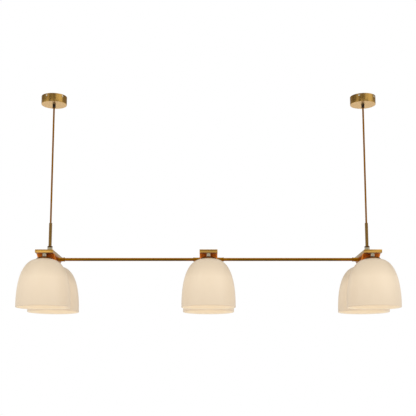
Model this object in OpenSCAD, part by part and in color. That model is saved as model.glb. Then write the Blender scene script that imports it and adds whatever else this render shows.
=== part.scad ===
// Linear pendant light: two round ceiling canopies, two cords, and one brass bar that joins
// three brackets, each with an opal glass shade at its front and at its rear.
// Frame: X along the bar, Y towards the rear shades, Z up; the ceiling is the plane z = 0
// and the origin lies midway between the two ceiling plates. Millimetres and degrees.

/* [Layout] */
// Distance between the two cords, centre to centre
cord_spacing = 1232; // [900:1:1600]
// Length of each cord between its two bends
cord_len = 474; // [200:1:1500]
// Gap between a front shade and the rear shade behind it
shade_gap = 8; // [4:0.5:30]

/* [Canopies] */
// Outer diameter of a canopy
canopy_d = 100; // [96:1:130]
// Height of a canopy
canopy_h = 33; // [31:1:50]
// Thickness of the canopy's sheet
canopy_wall = 1.5; // [1:0.1:2]
// Radius of the canopy's lower edge
canopy_edge_r = 1.4; // [0.5:0.1:2.4]

/* [Ceiling plates] */
// Thickness of a ceiling plate
plate_t = 1.5; // [1:0.1:2.5]
// Depth of the plate's turned-down rim
plate_rim_h = 13; // [12:0.5:15]
// Distance between the two ceiling screws of a plate
fixing_spacing = 70; // [60:1:74]
// Diameter of a ceiling screw's hole
fixing_hole_d = 4.5; // [3.5:0.1:5.5]
// Diameter of the hole for the supply cable
supply_hole_d = 16; // [10:0.5:18]
// Distance of the supply hole from the cord's axis
supply_hole_x = 24; // [22:0.5:30]

/* [Side screws] */
// Diameter of a side screw's thread
side_screw_d = 4; // [3:0.1:5]
// Diameter of a side screw's domed head
side_screw_head_d = 7; // [6:0.1:8]
// Depth of the side screws below the ceiling
side_screw_drop = 8.5; // [8:0.1:9]

/* [Terminal block] */
// Width of the terminal block, across its row of poles
block_w = 17; // [12:0.5:18]
// Length of the terminal block, along its row of poles
block_len = 30; // [26:0.5:34]
// Height of the terminal block
block_h = 14; // [12:0.5:16]
// Distance from the cord's axis to the middle of the block
block_x = 20; // [19:0.5:22]

/* [Cords] */
// Diameter of a cord over its woven cover
cord_d = 7; // [5:0.1:7.4]
// Diameter of one stripped lead
lead_d = 2.2; // [1.6:0.1:2.4]

/* [Cord grips] */
// Outer diameter of a cord grip
grip_d = 12.6; // [12.4:0.1:15]
// Length of the grip below the canopy
grip_h = 12; // [11:0.5:18]
// Diameter of the grip's thread through the canopy
grip_thread_d = 10; // [9:0.1:10.4]
// Diameter of the grip's open mouth
mouth_d = 10.8; // [10.6:0.1:11.4]
// Depth of the grip's open mouth
mouth_h = 7; // [7:0.1:8]
// Wall of the soft bush in the mouth
bush_t = 0.6; // [0.4:0.05:0.7]
// Length of the soft bush
bush_h = 4; // [3:0.1:4.2]

/* [Hanging] */
// How far the light can swing to the front and to the rear
swing_max = 10; // [2:0.5:11]
// How far the light can sway along its bar
sway_max = 8; // [2:0.5:9]

/* [Stems] */
// Outer diameter of a stem tube
stem_d = 12; // [11.6:0.1:16]
// Bore of a stem tube
stem_bore_d = 9.4; // [9.2:0.1:10]
// Length of a stem above its collar
stem_len = 91.5; // [60:0.5:160]
// Outer diameter of a stem's collar
collar_d = 19.5; // [18:0.1:26]
// Height of a collar
collar_h = 31; // [24:0.5:45]
// Depth that the stem goes into its collar
stem_seat = 14; // [10:0.5:18]
// Height of the dark ring on top of a collar
collar_ring_h = 5; // [3:0.5:6]
// Length of the sleeve that is crimped on the cord inside the stem
ferrule_len = 30; // [15:1:50]

/* [Brackets] */
// Width of a bracket, along the bar
bracket_w = 67.5; // [62:0.5:90]
// Distance from a shade's axis to the end of its bracket
lamp_inset = 15; // [13:0.5:25]
// Height of a bracket's cover
cover_h = 12; // [11.5:0.1:16]
// Thickness of the cover's sheet
cover_wall = 1.5; // [1:0.1:1.8]
// Radius of the cover's corners
cover_corner_r = 2; // [1.2:0.1:4]
// Bevel along the cover's top edges
cover_bevel = 0.8; // [0.3:0.1:1]
// Thickness of the base that closes the cover
base_t = 2; // [1.5:0.1:2.5]
// Height of the housing below the base
housing_h = 21; // [20.5:0.1:24]
// Gap between the housing and the necks in front of it and behind it
neck_gap = 5.5; // [3:0.5:12]
// Length of the housing's underside
housing_low_len = 100; // [96:1:106]
// Thickness of the housing's sheet
housing_wall = 2; // [1.5:0.1:2.5]
// Radius of the housing's corners
housing_corner_r = 5; // [3:0.1:7]

/* [Bracket screws] */
// Diameter of a bracket screw
bracket_screw_d = 4; // [3:0.1:5]
// Diameter of a bracket screw's head
bracket_screw_head_d = 8; // [7:0.1:9]
// Distance of a bracket screw from the middle, along the bar
bracket_screw_x = 16; // [14:0.5:18]
// Distance of a bracket screw from the middle, front to rear
bracket_screw_y = 36; // [32:0.5:38]

/* [Rods] */
// Outer diameter of a rod
rod_d = 12; // [10:0.1:13]
// Bore of a rod
rod_bore_d = 9.6; // [7:0.1:9.8]
// Depth of the rods' axis below the cover
rod_drop = 9; // [8.8:0.1:10.5]
// Outer diameter of a rod socket
socket_d = 16.4; // [15.4:0.1:18]
// Length of a rod socket
socket_len = 25; // [20:0.5:35]
// Depth that a rod goes into its socket
rod_seat = 15; // [10:0.5:17]

/* [Lamps] */
// Outer diameter of the bright neck under a bracket
neck_d = 15; // [13:0.1:18]
// Length of the neck
neck_len = 13; // [11:0.5:30]
// Outer diameter of a shade cap
cap_d = 60; // [58:0.5:66]
// Height of a shade cap
cap_h = 10; // [9.6:0.1:14]
// Thickness of the cap's sheet
cap_t = 1.2; // [0.8:0.1:1.4]
// Diameter of the threaded tubes that carry the lampholders
nipple_d = 10; // [9:0.1:10.4]
// Bore of the threaded tubes
nipple_bore_d = 7; // [6:0.1:7.4]

/* [Shades] */
// Outer diameter of a shade at its rim
shade_d = 202; // [180:1:240]
// Height of a shade
shade_h = 182; // [168:1:240]
// Thickness of the glass
glass_t = 3.5; // [2.5:0.1:4]
// Diameter of the hole in a shade's crown
shade_hole_d = 42; // [40:0.5:44]

/* [Lampholders] */
// Outer diameter of a lampholder
holder_d = 39; // [36:0.5:39.4]
// Length of a lampholder below its flange
holder_len = 53; // [52:0.5:60]
// Diameter of the lampholder's flange
flange_d = 48; // [47:0.5:49]
// Thickness of the flange
flange_t = 2; // [1.5:0.1:2]
// Height of the ring that clamps the glass
ring_h = 6; // [4:0.5:10]
// Thickness of the ring's wall
ring_wall = 6; // [3:0.1:6]

/* [Bulbs] */
// Diameter of a bulb's globe
bulb_d = 60; // [55:1:80]
// Overall length of a bulb
bulb_len = 108; // [100:1:118]
// Diameter of a bulb's screw cap
bulb_cap_d = 26.4; // [26:0.1:26.6]
// Length of a bulb's screw cap
bulb_cap_len = 26; // [22:0.5:28]

/* [Hidden] */

// Places along the bar (-1 left, 0 centre, 1 right) and across it (-1 front, 1 rear)
SIDES = [-1, 1];
BRACKETS = [-1, 0, 1];
ROWS = [-1, 1];

// Clearances
fit = 0.05;      // radial, between pieces that are screwed or pushed together
slip = 0.3;      // radial, between pieces that turn or lift apart
touch = 0.3;     // between a face that rests on a curved face
sink = 0.02;     // how far a cutter passes the face that it opens

// Colours
brass_light = [0.80, 0.64, 0.40];
brass_mid = [0.66, 0.46, 0.18];
brass_dark = [0.36, 0.24, 0.10];
bright_metal = [0.78, 0.76, 0.72];
steel_grey = [0.62, 0.63, 0.64];
rust_cord = [0.52, 0.29, 0.08];
black_plastic = [0.08, 0.07, 0.06];
white_plastic = [0.90, 0.89, 0.86];
opal_glass = [0.93, 0.87, 0.76];
bulb_white = [0.97, 0.95, 0.90];
rubber_grey = [0.30, 0.30, 0.30];
lead_grey = [0.70, 0.70, 0.68];

// Levels, from the ceiling down
canopy_z = -canopy_h;
grip_z = canopy_z - grip_h;
mouth_top_z = grip_z + mouth_h;
pivot_top_z = grip_z + mouth_h / 2;
pivot_low_z = pivot_top_z - cord_len;
stem_entry = 3;  // how far inside the stem the cord bends
stem_top_z = pivot_low_z + stem_entry;
collar_top_z = stem_top_z - stem_len;
stem_end_z = collar_top_z - stem_seat;
cover_top_z = collar_top_z - collar_h;
cover_low_z = cover_top_z - cover_h;
base_top_z = cover_low_z + base_t;
housing_z = cover_low_z - housing_h;
rod_z = cover_low_z - rod_drop;
cap_top_z = cover_low_z - neck_len;
crown_z = cap_top_z - cap_h;
glass_under_z = crown_z - glass_t;
rim_z = crown_z - shade_h;

// Cords
cord_sides = 10;
cord_r = cord_d / 2;
// Free height at each bend, so that the tilting end clears what is beyond it
bend_spare = 0.12;
top_bend_gap = cord_r * sin(acos(cos(swing_max) * cos(sway_max))) + bend_spare;
low_bend_gap = cord_r * sin(sway_max) + bend_spare;
// The cords hang straight; each point of their route is its share of the way down
cord_route = [
    0, 0.04, 0.08, 0.12, 0.16, 0.2, 0.24, 0.28, 0.32, 0.36, 0.4, 0.44, 0.48,
    0.52, 0.56, 0.6, 0.64, 0.68, 0.72, 0.76, 0.8, 0.84, 0.88, 0.92, 0.96, 1
];

// Cord grips
grip_nut_h = 4;
grip_nut_d = 16;
grip_thread_top_z = canopy_z + canopy_wall + grip_nut_h + 2;
bush_r = cord_r / cos(sway_max) + bush_h / 2 * tan(sway_max) + bend_spare;

// Ceiling plates
plate_r = canopy_d / 2 - canopy_wall - slip;
side_screw_len = canopy_wall + slip + plate_t + 1.5;
side_screw_head_h = 2;
// Two side screws show at the front of each canopy; two more stand opposite them
side_screw_angles = [-26, 50, 154, 230];

// Stems and collars
spigot_d = 10;
spigot_bore_d = cord_d + 2 * slip;
nut_h = 3.6;
spigot_end_z = cover_top_z - cover_wall - nut_h;
collar_nut_d = 17;
lead_run_z = base_top_z + 1.6;
stem_cord_end_z = lead_run_z + 1.8 + 0.2;
stem_cord_top_z = pivot_low_z - low_bend_gap;
ferrule_top_z = stem_cord_top_z - 4;

// Brackets: each is long enough for its two lamps, which stand clear of each other
lamp_y = (shade_d + shade_gap) / 2;
bracket_len = 2 * (lamp_y + lamp_inset);
housing_top_len = 2 * (lamp_y - neck_d / 2 - neck_gap);
inner_w = bracket_w - 2 * cover_wall;
inner_len = bracket_len - 2 * cover_wall;
boss_d = 9;
lead_pass_d = 10;
cover_screw_z = cover_top_z - cover_wall - 2;

// Rods and sockets
socket_nut_h = 4;
socket_nut_d = 15;
socket_spigot_len = housing_wall + socket_nut_h + 1;
rod_start = bracket_w / 2 + socket_len - rod_seat;
bracket_pitch = cord_spacing / 2;
socket_bore_d = 7;

// Leads
lead_w = 3.2;
lead_t = 1.8;
nipple_top_z = base_top_z + nut_h + 0.6;
high_run_z = nipple_top_z + 0.3;
step_y = 13;

// Lampholders, from the crown down
washer_t = 0.8;
flange_low_z = crown_z + washer_t;
flange_top_z = flange_low_z + flange_t;
hub_d = 18;
hub_top_z = cap_top_z - cap_t - 0.6;
nipple_end_z = flange_low_z - 7;
holder_end_z = flange_low_z - holder_len;
shell_t = 1;
shell_bore_d = bulb_cap_d + 2 * slip;
shell_d = shell_bore_d + 2 * shell_t;
holder_bore_d = shell_d + 2 * fit;
bulb_top_z = holder_end_z + bulb_cap_len + 4;
holder_bore_z = bulb_top_z + 4;
contact_d = 7;
lead_hole_d = 6;

// Shades: outline of the bell as a superellipse, flat where the cap and the ring hold it
flat_r = 28;
bell_n = 3;
bell_m = 2.4;
rim_base_z = rim_z + glass_t / 2;
bell_steps = 22;
shade_r = shade_d / 2;
// Height above the rim's base at which the bell would close, for an outline of radius r at h
function closing_height(r_max, r, h) = h / pow(1 - pow(r / r_max, bell_n), 1 / bell_m);
bell_h = closing_height(shade_r, flat_r, crown_z - rim_base_z);
function bell_radius(r_max, top, h) = r_max * pow(1 - pow(h / top, bell_m), 1 / bell_n);
// Steps that crowd towards the crown, where the outline bends most
function bell_step(i) = sin(90 * i / bell_steps);

// Small solids of revolution
module tube(r_out, r_in, low, high) {
    translate([0, 0, low])
        difference() {
            cylinder(r = r_out, h = high - low, $fn = 64);
            translate([0, 0, -1])
                cylinder(r = r_in, h = high - low + 2, $fn = 64);
        }
}

module rod_between(r, low, high) {
    translate([0, 0, low])
        cylinder(r = r, h = high - low, $fn = 64);
}

module hex_nut(across, bore_r, low, high) {
    translate([0, 0, low])
        difference() {
            cylinder(d = across, h = high - low, $fn = 6);
            translate([0, 0, -1])
                cylinder(r = bore_r, h = high - low + 2, $fn = 48);
        }
}

// A flat rectangle with true round corners
module round_rect(w, len, r) {
    square([w - 2 * r, len], center = true);
    square([w, len - 2 * r], center = true);
    for (x = [-1, 1], y = [-1, 1])
        translate([x * (w / 2 - r), y * (len / 2 - r)])
            circle(r = r, $fn = 32);
}

module at_cord(side) {
    translate([side * bracket_pitch, 0, 0])
        children();
}

module at_lamp(place, row) {
    translate([place * bracket_pitch, row * lamp_y, 0])
        children();
}

module at_all_lamps() {
    for (place = BRACKETS, row = ROWS)
        at_lamp(place, row)
            children();
}

module at_side_screws() {
    for (a = side_screw_angles)
        rotate([0, 0, a - 90])
            translate([plate_r - plate_t, 0, -side_screw_drop])
                rotate([0, 90, 0])
                    children();
}

// Ceiling

module ceiling_plate(side) {
    color(steel_grey)
        at_cord(side)
            difference() {
                union() {
                    rod_between(plate_r, -plate_t, 0);
                    tube(plate_r, plate_r - plate_t, -plate_rim_h, 0);
                }
                for (y = [-1, 1])
                    translate([0, y * fixing_spacing / 2, 0])
                        rod_between(fixing_hole_d / 2, -plate_t - 1, 1);
                translate([supply_hole_x, 0, 0])
                    rod_between(supply_hole_d / 2, -plate_t - 1, 1);
                at_side_screws()
                    rod_between(side_screw_d / 2 + fit, -1, plate_t + 1);
            }
}

module canopy_outline(r, low, edge) {
    polygon(concat(
        [[0, 0], [0, low]],
        [for (a = [-90 : 15 : 0]) [r - edge + edge * cos(a), low + edge + edge * sin(a)]],
        [[r, 0]]));
}

module canopy(side) {
    color(brass_light)
        at_cord(side)
            difference() {
                rotate_extrude($fn = 96)
                    canopy_outline(canopy_d / 2, canopy_z, canopy_edge_r);
                rod_between(canopy_d / 2 - canopy_wall, canopy_z + canopy_wall, 1);
                rod_between(grip_thread_d / 2 + fit, canopy_z - 1, canopy_z + canopy_wall + 1);
                at_side_screws()
                    rod_between(side_screw_d / 2 + fit, 0, canopy_wall + plate_t + 3);
            }
}

// A dome-headed screw along Z, its thread from z = 0 up to the underside of its head
module dome_screw(d, len, head_d, head_h) {
    cylinder(d = d, h = len + sink, $fn = 32);
    translate([0, 0, len])
        rotate_extrude($fn = 48)
            polygon(concat(
                [[0, 0]],
                [for (a = [0 : 15 : 90]) [head_d / 2 * cos(a), head_h * sin(a)]]));
}

module canopy_screws() {
    color(bright_metal)
        for (side = SIDES)
            at_cord(side)
                at_side_screws()
                    translate([0, 0, -1.5])
                        dome_screw(side_screw_d, side_screw_len + touch,
                                   side_screw_head_d, side_screw_head_h);
}

module terminal_block() {
    screw_d = 4;
    poles = 3;
    pitch = block_len / poles;
    color(white_plastic)
        at_cord(-1)
            translate([-block_x, 0, -plate_t - block_h])
                difference() {
                    translate([-block_w / 2, -block_len / 2, 0])
                        cube([block_w, block_len, block_h]);
                    for (i = [0 : poles - 1])
                        translate([0, (i - (poles - 1) / 2) * pitch, -1]) {
                            cylinder(d = screw_d, h = 4, $fn = 32);
                            for (x = [-1, 1])
                                translate([x * block_w / 3.4, 0, 0])
                                    cylinder(d = screw_d * 0.8, h = 4, $fn = 32);
                        }
                }
}

module cord_grip(side) {
    taper = 0.4;
    color(black_plastic)
        at_cord(side)
            difference() {
                union() {
                    translate([0, 0, grip_z])
                        cylinder(r1 = grip_d / 2 - taper / 4, r2 = grip_d / 2, h = grip_h, $fn = 64);
                    rod_between(grip_thread_d / 2, canopy_z - sink, grip_thread_top_z);
                }
                rod_between(mouth_d / 2, grip_z - 1, mouth_top_z);
                rod_between(cord_r + fit, grip_z - 1, grip_thread_top_z + 1);
            }
}

module grip_nuts() {
    low = canopy_z + canopy_wall;
    color(steel_grey)
        for (side = SIDES)
            at_cord(side)
                hex_nut(grip_nut_d, grip_thread_d / 2 + fit, low, low + grip_nut_h);
}

// The cords' upper ends: the left one is stripped to three leads that enter the terminal
// block, and the right one, which only carries weight, ends in a crimped stop
module cord_tails() {
    sheath_top_z = grip_thread_top_z + 2;
    low = pivot_top_z + top_bend_gap;
    pole_pitch = block_len / 3;
    lead_z = -plate_t - block_h / 2;
    bend_r = 4;
    spread = 2.3;
    reach = block_x - block_w / 2;
    color(rust_cord)
        for (side = SIDES)
            at_cord(side) {
                rod_between(cord_r, low, sheath_top_z);
                if (side < 0) {
                    for (i = [-1 : 1])
                        translate([0, i * spread, 0]) {
                            rod_between(lead_d / 2, sheath_top_z - 1, lead_z - bend_r);
                            translate([-bend_r, 0, lead_z - bend_r])
                                rotate([90, 0, 0])
                                    rotate_extrude(angle = 90, $fn = 48)
                                        translate([bend_r, 0])
                                            circle(d = lead_d, $fn = 32);
                            translate([-bend_r, 0, lead_z])
                                rotate([0, -90, 0])
                                    rod_between(lead_d / 2, 0, reach - bend_r);
                        }
                } else {
                    rod_between(cord_r + 1.2, grip_thread_top_z, sheath_top_z + 6);
                }
            }
}

// Soft bushes in the grips' mouths, which tilt with the cords
module bend_bushes() {
    color(rubber_grey)
        for (side = SIDES)
            at_cord(side)
                tube(bush_r + bush_t, bush_r, pivot_top_z - bush_h / 2, pivot_top_z + bush_h / 2);
}

// A tube of n sides along straight points on the Z axis, swept as one polyhedron
module swept_cord(points, r, n) {
    rings = len(points);
    corners = [for (p = points, i = [0 : n - 1]) p + r * [cos(360 * i / n), sin(360 * i / n), 0]];
    walls = [for (k = [0 : rings - 2], i = [0 : n - 1])
        [k * n + i, k * n + (i + 1) % n, (k + 1) * n + (i + 1) % n, (k + 1) * n + i]];
    top = [for (i = [n - 1 : -1 : 0]) i];
    foot = [for (i = [0 : n - 1]) (rings - 1) * n + i];
    triangles = [for (f = walls, t = [0, 1]) t == 0 ? [f[0], f[1], f[2]] : [f[0], f[2], f[3]]];
    polyhedron(points = corners, faces = concat(triangles, [top, foot]));
}

module cord(side) {
    route = [for (s = cord_route) [0, 0, pivot_top_z - s * cord_len]];
    color(rust_cord)
        at_cord(side)
            swept_cord(route, cord_r, cord_sides);
}

// Stems

module stem(side) {
    color(brass_mid)
        at_cord(side)
            tube(stem_d / 2, stem_bore_d / 2, stem_end_z, stem_top_z);
}

module stem_collars() {
    color(bright_metal)
        for (side = SIDES)
            at_cord(side)
                difference() {
                    union() {
                        rod_between(collar_d / 2, cover_top_z, collar_top_z - collar_ring_h);
                        rod_between(spigot_d / 2, spigot_end_z, cover_top_z + sink);
                    }
                    rod_between(stem_d / 2 + fit, stem_end_z, collar_top_z + 1);
                    rod_between(spigot_bore_d / 2, spigot_end_z - 1, stem_end_z + 1);
                }
}

module collar_rings() {
    color(brass_dark)
        for (side = SIDES)
            at_cord(side)
                tube(collar_d / 2 + 0.3, stem_d / 2 + fit, collar_top_z - collar_ring_h, collar_top_z);
}

module collar_nuts() {
    color(steel_grey)
        for (side = SIDES)
            at_cord(side)
                hex_nut(collar_nut_d, spigot_d / 2 + fit, spigot_end_z, spigot_end_z + nut_h);
}

module stem_cords() {
    color(rust_cord)
        for (side = SIDES)
            at_cord(side)
                rod_between(cord_r, stem_cord_end_z, stem_cord_top_z);
}

module cord_ferrules() {
    color(brass_dark)
        for (side = SIDES)
            at_cord(side)
                tube(stem_bore_d / 2 - fit, cord_r + fit, ferrule_top_z - ferrule_len, ferrule_top_z);
}

// Brackets

module at_bracket_screws() {
    for (s = [-1, 1])
        translate([s * bracket_screw_x, s * bracket_screw_y, 0])
            children();
}

module cover(place) {
    color(brass_mid)
        translate([place * bracket_pitch, 0, 0])
            difference() {
                union() {
                    difference() {
                        hull() {
                            translate([0, 0, cover_low_z])
                                linear_extrude(height = cover_h - cover_bevel)
                                    round_rect(bracket_w, bracket_len, cover_corner_r);
                            translate([0, 0, cover_top_z - 0.1])
                                linear_extrude(height = 0.1)
                                    round_rect(bracket_w - 2 * cover_bevel,
                                               bracket_len - 2 * cover_bevel,
                                               cover_corner_r - cover_bevel);
                        }
                        translate([-inner_w / 2, -inner_len / 2, cover_low_z - 1])
                            cube([inner_w, inner_len, cover_h - cover_wall + 1]);
                    }
                    at_bracket_screws()
                        rod_between(boss_d / 2, base_top_z, cover_top_z - cover_wall + sink);
                }
                at_bracket_screws()
                    rod_between(bracket_screw_d / 2 + fit, base_top_z - 1, cover_screw_z + 0.5);
                if (place != 0)
                    rod_between(spigot_d / 2 + fit, cover_top_z - cover_wall - 1, cover_top_z + 1);
            }
}

module tray_bases() {
    color(brass_dark)
        for (place = BRACKETS)
            translate([place * bracket_pitch, 0, 0])
                difference() {
                    translate([-inner_w / 2 + fit, -inner_len / 2 + fit, cover_low_z])
                        cube([inner_w - 2 * fit, inner_len - 2 * fit, base_t]);
                    rod_between(lead_pass_d / 2, cover_low_z - 1, base_top_z + 1);
                    at_bracket_screws()
                        rod_between(bracket_screw_d / 2 + fit, cover_low_z - 1, base_top_z + 1);
                    for (row = ROWS)
                        translate([0, row * lamp_y, 0])
                            rod_between(nipple_d / 2 + fit, cover_low_z - 1, base_top_z + 1);
                }
}

// The housing's tapered block, drawn in by inset on every side
module housing_block(inset, low, high) {
    r = housing_corner_r - inset;
    slope = (housing_top_len - housing_low_len) / 2 / housing_h;
    hull()
        for (z = [low, high], x = [-1, 1], y = [-1, 1])
            translate([x * (bracket_w / 2 - housing_corner_r),
                       y * (housing_low_len / 2 - housing_corner_r + slope * (z - housing_z)), z])
                cylinder(r = r, h = 0.01, $fn = 32);
}

module housing(place) {
    color(brass_mid)
        translate([place * bracket_pitch, 0, 0])
            difference() {
                housing_block(0, housing_z, cover_low_z - 0.01);
                housing_block(housing_wall, housing_z + housing_wall, cover_low_z + 0.5);
                for (x = [-1, 1])
                    if (place * x <= 0)
                        translate([0, 0, rod_z])
                            rotate([0, x * 90, 0])
                                rod_between(spigot_d / 2 + fit, 0, bracket_w);
                at_bracket_screws()
                    rod_between(bracket_screw_d / 2 + fit, housing_z - 1, housing_z + housing_wall + 1);
            }
}

module bracket_screws() {
    head_h = 2.4;
    len = cover_screw_z - housing_z;
    color(bright_metal)
        for (place = BRACKETS)
            translate([place * bracket_pitch, 0, 0])
                at_bracket_screws()
                    translate([0, 0, cover_screw_z])
                        rotate([180, 0, 0])
                            dome_screw(bracket_screw_d, len, bracket_screw_head_d, head_h);
}

// Rods

module rod(side) {
    color(brass_mid)
        translate([0, 0, rod_z])
            rotate([0, side * 90, 0])
                tube(rod_d / 2, rod_bore_d / 2, rod_start, bracket_pitch - rod_start);
}

// Runs its children at every place where a rod meets a bracket, with +Z pointing away from
// the bracket and z = 0 on the housing's side
module at_sockets() {
    for (place = BRACKETS, x = [-1, 1])
        if (place * x <= 0)
            translate([place * bracket_pitch + x * bracket_w / 2, 0, rod_z])
                rotate([0, x * 90, 0])
                    children();
}

module rod_sockets() {
    color(brass_mid)
        at_sockets()
            difference() {
                union() {
                    rod_between(socket_d / 2, 0, socket_len);
                    rod_between(spigot_d / 2, -socket_spigot_len, sink);
                }
                rod_between(rod_d / 2 + fit, socket_len - rod_seat, socket_len + 1);
                rod_between(socket_bore_d / 2, -socket_spigot_len - 1, socket_len);
            }
}

module socket_nuts() {
    color(steel_grey)
        at_sockets()
            hex_nut(socket_nut_d, spigot_d / 2 + fit,
                    -housing_wall - socket_nut_h, -housing_wall);
}

// Leads

module lead(from, to) {
    size = [for (i = [0 : 2]) abs(to[i] - from[i]) + (i == 2 ? lead_t : lead_w)];
    middle = (from + to) / 2;
    translate(middle - size / 2)
        cube(size);
}

// Flat leads from the stem through the rods to the three brackets and their six lamps
module lamp_leads() {
    low_z = lead_run_z + lead_t / 2;
    high_z = high_run_z + lead_t / 2;
    lamp_end_z = flange_low_z - 5;
    color(lead_grey) {
        lead([-bracket_pitch, 0, rod_z], [bracket_pitch, 0, rod_z]);
        for (place = BRACKETS)
            translate([place * bracket_pitch, 0, 0]) {
                lead([0, 0, rod_z], [0, 0, low_z]);
                lead([0, -step_y, low_z], [0, step_y, low_z]);
                for (row = ROWS) {
                    lead([0, row * step_y, low_z], [0, row * step_y, high_z]);
                    lead([0, row * step_y, high_z], [0, row * lamp_y, high_z]);
                    lead([0, row * lamp_y, lamp_end_z], [0, row * lamp_y, high_z]);
                }
            }
    }
}

// Lamps

module nipples() {
    color(steel_grey)
        at_all_lamps()
            tube(nipple_d / 2, nipple_bore_d / 2, nipple_end_z, nipple_top_z);
}

module nipple_nuts() {
    color(steel_grey)
        at_all_lamps()
            hex_nut(collar_nut_d, nipple_d / 2 + fit, base_top_z, base_top_z + nut_h);
}

module neck_sleeves() {
    color(bright_metal)
        at_all_lamps()
            tube(neck_d / 2, nipple_d / 2 + fit, cap_top_z, cover_low_z);
}

module cap_dome(r, h) {
    polygon(concat(
        [[0, 0]],
        [for (a = [0 : 7.5 : 90]) [r * cos(a), h * sin(a)]]));
}

module shade_caps() {
    color(brass_dark)
        at_all_lamps()
            translate([0, 0, crown_z])
                difference() {
                    rotate_extrude($fn = 96)
                        cap_dome(cap_d / 2, cap_h);
                    translate([0, 0, -sink])
                        rotate_extrude($fn = 96)
                            cap_dome(cap_d / 2 - cap_t, cap_h - cap_t + sink);
                    rod_between(nipple_d / 2 + fit, -1, cap_h + 1);
                }
}

module crown_washers() {
    color(rubber_grey)
        at_all_lamps()
            tube(flange_d / 2 + 1, shade_hole_d / 2 - 0.6, crown_z, flange_low_z);
}

module lampholder(place, row) {
    color(white_plastic)
        at_lamp(place, row)
            difference() {
                union() {
                    rod_between(hub_d / 2, flange_low_z, hub_top_z);
                    rod_between(flange_d / 2, flange_low_z, flange_top_z);
                    rod_between(holder_d / 2, holder_end_z, flange_top_z);
                }
                rod_between(nipple_d / 2 + fit, nipple_end_z, hub_top_z + 1);
                rod_between(lead_hole_d / 2, holder_bore_z, nipple_end_z + 1);
                rod_between(holder_bore_d / 2, holder_end_z - 1, holder_bore_z);
            }
}

module screw_shells() {
    shell_low_z = holder_end_z + 3;
    color(brass_light)
        at_all_lamps()
            tube(shell_d / 2, shell_bore_d / 2, shell_low_z, bulb_top_z - 1);
}

module centre_contacts() {
    color(brass_light)
        at_all_lamps() {
            rod_between(contact_d / 2, bulb_top_z + touch, bulb_top_z + 1.6);
            rod_between(lead_hole_d / 2 - fit, bulb_top_z + 1.6 - sink, holder_bore_z + 6);
        }
}

module shade_rings() {
    high = glass_under_z - 0.1;
    color(white_plastic)
        at_all_lamps()
            tube(holder_d / 2 + fit + ring_wall, holder_d / 2 + fit, high - ring_h, high);
}

// Shades

// Points of one wall of the bell from its rim's base up to its flat crown
function bell_wall(r_max, top, h_flat) =
    [for (i = [0 : bell_steps])
        let (h = h_flat * bell_step(i))
        [bell_radius(r_max, top, h), rim_base_z + h]];

module shade_outline() {
    inner_r = shade_r - glass_t;
    inner_top = bell_h - glass_t;
    outer = bell_wall(shade_r, bell_h, crown_z - rim_base_z);
    inner = bell_wall(inner_r, inner_top, glass_under_z - rim_base_z);
    rim_r = glass_t / 2;
    rim = [for (a = [180 : 22.5 : 360]) [shade_r - rim_r + rim_r * cos(a), rim_base_z + rim_r * sin(a)]];
    crown = [[shade_hole_d / 2, crown_z], [shade_hole_d / 2, glass_under_z]];
    inner_down = [for (i = [bell_steps : -1 : 1]) inner[i]];
    outer_up = [for (i = [1 : bell_steps]) outer[i]];
    polygon(concat(rim, outer_up, crown, inner_down));
}

module shade(place, row) {
    color(opal_glass)
        at_lamp(place, row)
            rotate_extrude($fn = 120)
                shade_outline();
}

// Bulbs

module bulb_outline() {
    globe_r = bulb_d / 2;
    globe_z = bulb_top_z - bulb_len + globe_r;
    cap_r = bulb_cap_d / 2;
    cap_low_z = bulb_top_z - bulb_cap_len;
    tip_r = 5;
    // The globe's arc runs from its foot to where it meets the neck
    neck_angle = 48;
    polygon(concat(
        [[0, bulb_top_z - bulb_len]],
        [for (a = [-84 : 6 : neck_angle]) [globe_r * cos(a), globe_z + globe_r * sin(a)]],
        [[cap_r + 1.2, cap_low_z - 7], [cap_r + 0.6, cap_low_z - 3], [cap_r, cap_low_z - 1],
         [cap_r, bulb_top_z - 4], [tip_r, bulb_top_z - 1], [tip_r, bulb_top_z], [0, bulb_top_z]]));
}

module bulb(place, row) {
    color(bulb_white)
        at_lamp(place, row)
            rotate_extrude($fn = 96)
                bulb_outline();
}

ceiling_plate(-1);  // ceiling_plate_left
ceiling_plate(1);  // ceiling_plate_right
canopy(-1);  // canopy_left
canopy(1);  // canopy_right
canopy_screws();
terminal_block();
cord_grip(-1);  // cord_grip_left
cord_grip(1);  // cord_grip_right
grip_nuts();
cord_tails();
bend_bushes();
cord(-1);  // cord_left
cord(1);  // cord_right
stem(-1);  // stem_left
stem(1);  // stem_right
stem_collars();
collar_rings();
collar_nuts();
stem_cords();
cord_ferrules();
cover(-1);  // cover_left
cover(0);  // cover_centre
cover(1);  // cover_right
tray_bases();
housing(-1);  // housing_left
housing(0);  // housing_centre
housing(1);  // housing_right
bracket_screws();
rod(-1);  // rod_left
rod(1);  // rod_right
rod_sockets();
socket_nuts();
lamp_leads();
nipples();
nipple_nuts();
neck_sleeves();
shade_caps();
crown_washers();
shade_rings();
screw_shells();
centre_contacts();
lampholder(-1, -1);  // lampholder_front_left
lampholder(0, -1);  // lampholder_front_centre
lampholder(1, -1);  // lampholder_front_right
lampholder(-1, 1);  // lampholder_rear_left
lampholder(0, 1);  // lampholder_rear_centre
lampholder(1, 1);  // lampholder_rear_right
shade(-1, -1);  // shade_front_left
shade(0, -1);  // shade_front_centre
shade(1, -1);  // shade_front_right
shade(-1, 1);  // shade_rear_left
shade(0, 1);  // shade_rear_centre
shade(1, 1);  // shade_rear_right
bulb(-1, -1);  // bulb_front_left
bulb(0, -1);  // bulb_front_centre
bulb(1, -1);  // bulb_front_right
bulb(-1, 1);  // bulb_rear_left
bulb(0, 1);  // bulb_rear_centre
bulb(1, 1);  // bulb_rear_right
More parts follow.
